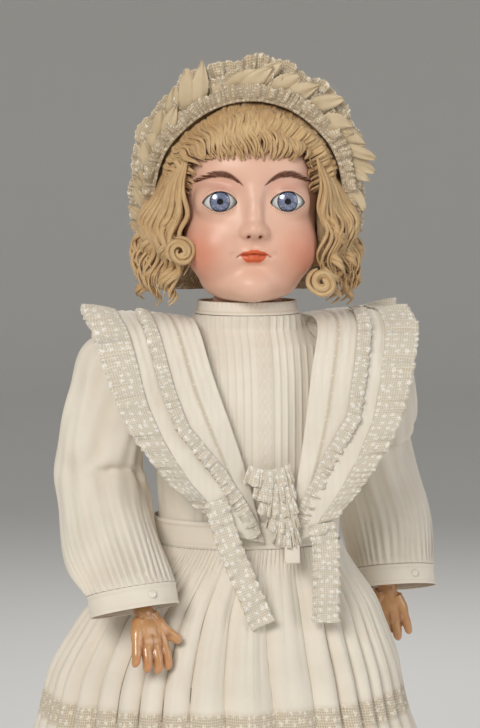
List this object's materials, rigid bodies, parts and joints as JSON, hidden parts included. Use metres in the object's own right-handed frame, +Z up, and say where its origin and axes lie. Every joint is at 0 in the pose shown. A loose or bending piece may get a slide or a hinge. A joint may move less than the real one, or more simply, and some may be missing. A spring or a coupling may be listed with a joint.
{
  "type": "child doll",
  "caption": "Dressed bisque-head child doll with sleeping glass eyes, mohair wig and lace bonnet, on a strung ball-jointed body.",
  "frame": {"origin": "on the floor under the middle of the body, level with the shoe soles", "axes": "+Z up, the doll faces -Y, its right side is at -X"},
  "size_m": [0.3104, 0.2588, 0.7035],
  "materials": {
    "bisque": "satin",
    "cork": "matte",
    "plaster": "matte",
    "mohair": "satin",
    "lace": "matte",
    "eye_glass": "gloss",
    "steel_wire": "satin",
    "lead": "matte",
    "beech": "satin",
    "elastic": "matte",
    "lawn": "matte",
    "knit": "matte",
    "kid": "satin",
    "composition": "gloss"
  },
  "bodies": {
    "torso": {"torso": "composition", "dress_bodice": "lawn", "collar_band": "lawn", "waistband": "lawn", "skirt": "lawn", "petticoat": "lawn", "bretelle_right": "lace", "bretelle_left": "lace", "arm_elastic": "elastic", "leg_elastic_right": "elastic", "leg_elastic_left": "elastic"},
    "neck": {"neck_button": "beech", "neck_hook": "steel_wire"},
    "head": {"bisque_head": "bisque", "crown_pate": "cork", "eye_bearing": "plaster", "eye_stop": "cork", "wig_cap": "mohair", "wig_fringe": "mohair", "wig_curls_right": "mohair", "wig_curls_left": "mohair", "bonnet_cap": "lace", "bonnet_frill": "lace"},
    "eyes": {"eye_right": "eye_glass", "eye_left": "eye_glass", "eye_rocker": "steel_wire", "eye_weight": "lead"},
    "shoulder_right": {"shoulder_ball_right": "composition"},
    "upper_arm_right": {"upper_arm_right": "composition", "sleeve_right": "lawn"},
    "elbow_right": {"elbow_ball_right": "composition"},
    "forearm_right": {"forearm_right": "composition", "cuff_right": "lawn"},
    "hand_right": {"hand_right": "composition", "wrist_hook_right": "steel_wire"},
    "shoulder_left": {"shoulder_ball_left": "composition"},
    "upper_arm_left": {"upper_arm_left": "composition", "sleeve_left": "lawn"},
    "elbow_left": {"elbow_ball_left": "composition"},
    "forearm_left": {"forearm_left": "composition", "cuff_left": "lawn"},
    "hand_left": {"hand_left": "composition", "wrist_hook_left": "steel_wire"},
    "hip_right": {"hip_ball_right": "composition"},
    "thigh_right": {"thigh_right": "composition"},
    "knee_right": {"knee_ball_right": "composition"},
    "lower_leg_right": {"lower_leg_right": "composition", "stocking_right": "knit", "shoe_upper_right": "kid", "shoe_sole_right": "kid"},
    "hip_left": {"hip_ball_left": "composition"},
    "thigh_left": {"thigh_left": "composition"},
    "knee_left": {"knee_ball_left": "composition"},
    "lower_leg_left": {"lower_leg_left": "composition", "stocking_left": "knit", "shoe_upper_left": "kid", "shoe_sole_left": "kid"}
  },
  "joints": [
    {"name": "neck_turn", "type": "hinge", "parent": "torso", "child": "neck", "pos_m": [0, 0, 0.545], "axis": [0, 0, 1], "range_deg": [-73, 87]},
    {"name": "neck_nod", "type": "hinge", "parent": "neck", "child": "head", "pos_m": [0, 0, 0.545], "axis": [0.9925, -0.1219, 0], "range_deg": [-8, 8], "deforming": ["collar_band"]},
    {"name": "eyes_sleep", "type": "hinge", "parent": "head", "child": "eyes", "pos_m": [-0.00433, -0.03524, 0.611], "axis": [0.9925, -0.1219, 0], "range_deg": [0, 57]},
    {"name": "shoulder_swing_right", "type": "hinge", "parent": "torso", "child": "shoulder_right", "pos_m": [-0.063, 0.002, 0.514], "axis": [-1, 0, 0], "range_deg": [-35, 120], "deforming": ["arm_elastic", "dress_bodice"]},
    {"name": "shoulder_spread_right", "type": "hinge", "parent": "shoulder_right", "child": "upper_arm_right", "pos_m": [-0.063, 0.002, 0.514], "axis": [0, 1, 0], "range_deg": [-8, 55], "deforming": ["sleeve_right", "bretelle_right"]},
    {"name": "elbow_flex_right", "type": "hinge", "parent": "upper_arm_right", "child": "elbow_right", "pos_m": [-0.09895, 0.002, 0.42931], "axis": [-0.754, -0.5736, 0.3201], "range_deg": [-58, 26]},
    {"name": "elbow_roll_right", "type": "hinge", "parent": "elbow_right", "child": "forearm_right", "pos_m": [-0.09895, 0.002, 0.42931], "axis": [-0.2619, 0.7094, 0.6543], "range_deg": [-50, 60]},
    {"name": "wrist_flex_right", "type": "hinge", "parent": "forearm_right", "child": "hand_right", "pos_m": [-0.07721, -0.05688, 0.375], "axis": [0.9146, 0.3989, -0.0664], "range_deg": [-42, 12]},
    {"name": "shoulder_swing_left", "type": "hinge", "parent": "torso", "child": "shoulder_left", "pos_m": [0.063, 0.002, 0.514], "axis": [-1, 0, 0], "range_deg": [-6, 155]},
    {"name": "shoulder_spread_left", "type": "hinge", "parent": "shoulder_left", "child": "upper_arm_left", "pos_m": [0.063, 0.002, 0.514], "axis": [0, -0.788, -0.6157], "range_deg": [-14, 55], "deforming": ["sleeve_left", "bretelle_left"]},
    {"name": "elbow_flex_left", "type": "hinge", "parent": "upper_arm_left", "child": "elbow_left", "pos_m": [0.09895, 0.05414, 0.44727], "axis": [-0.8803, 0.4604, -0.1144], "range_deg": [-50, 34]},
    {"name": "elbow_roll_left", "type": "hinge", "parent": "elbow_left", "child": "forearm_left", "pos_m": [0.09895, 0.05414, 0.44727], "axis": [-0.0285, 0.1895, 0.9815], "range_deg": [-50, 60]},
    {"name": "wrist_flex_left", "type": "hinge", "parent": "forearm_left", "child": "hand_left", "pos_m": [0.10131, 0.03841, 0.3658], "axis": [0.9491, -0.3029, 0.086], "range_deg": [-34, 20]},
    {"name": "hip_flex_right", "type": "hinge", "parent": "torso", "child": "hip_right", "pos_m": [-0.029, 0, 0.322], "axis": [-1, 0, 0], "range_deg": [-10, 56], "deforming": ["skirt", "petticoat"]},
    {"name": "hip_spread_right", "type": "hinge", "parent": "hip_right", "child": "thigh_right", "pos_m": [-0.029, 0, 0.322], "axis": [0, 1, 0], "range_deg": [0, 22], "deforming": ["leg_elastic_right"]},
    {"name": "knee_roll_right", "type": "hinge", "parent": "thigh_right", "child": "knee_right", "pos_m": [-0.029, 0, 0.174], "axis": [0, 0, 1], "range_deg": [-25, 25]},
    {"name": "knee_flex_right", "type": "hinge", "parent": "knee_right", "child": "lower_leg_right", "pos_m": [-0.029, 0, 0.174], "axis": [1, 0, 0], "range_deg": [0, 85], "deforming": ["stocking_right"]},
    {"name": "hip_flex_left", "type": "hinge", "parent": "torso", "child": "hip_left", "pos_m": [0.029, 0, 0.322], "axis": [-1, 0, 0], "range_deg": [-10, 56], "deforming": ["leg_elastic_left"]},
    {"name": "hip_spread_left", "type": "hinge", "parent": "hip_left", "child": "thigh_left", "pos_m": [0.029, 0, 0.322], "axis": [0, -1, 0], "range_deg": [0, 22]},
    {"name": "knee_roll_left", "type": "hinge", "parent": "thigh_left", "child": "knee_left", "pos_m": [0.029, 0, 0.174], "axis": [0, 0, 1], "range_deg": [-25, 25]},
    {"name": "knee_flex_left", "type": "hinge", "parent": "knee_left", "child": "lower_leg_left", "pos_m": [0.029, 0, 0.174], "axis": [1, 0, 0], "range_deg": [0, 85], "deforming": ["stocking_left"]}
  ]
}
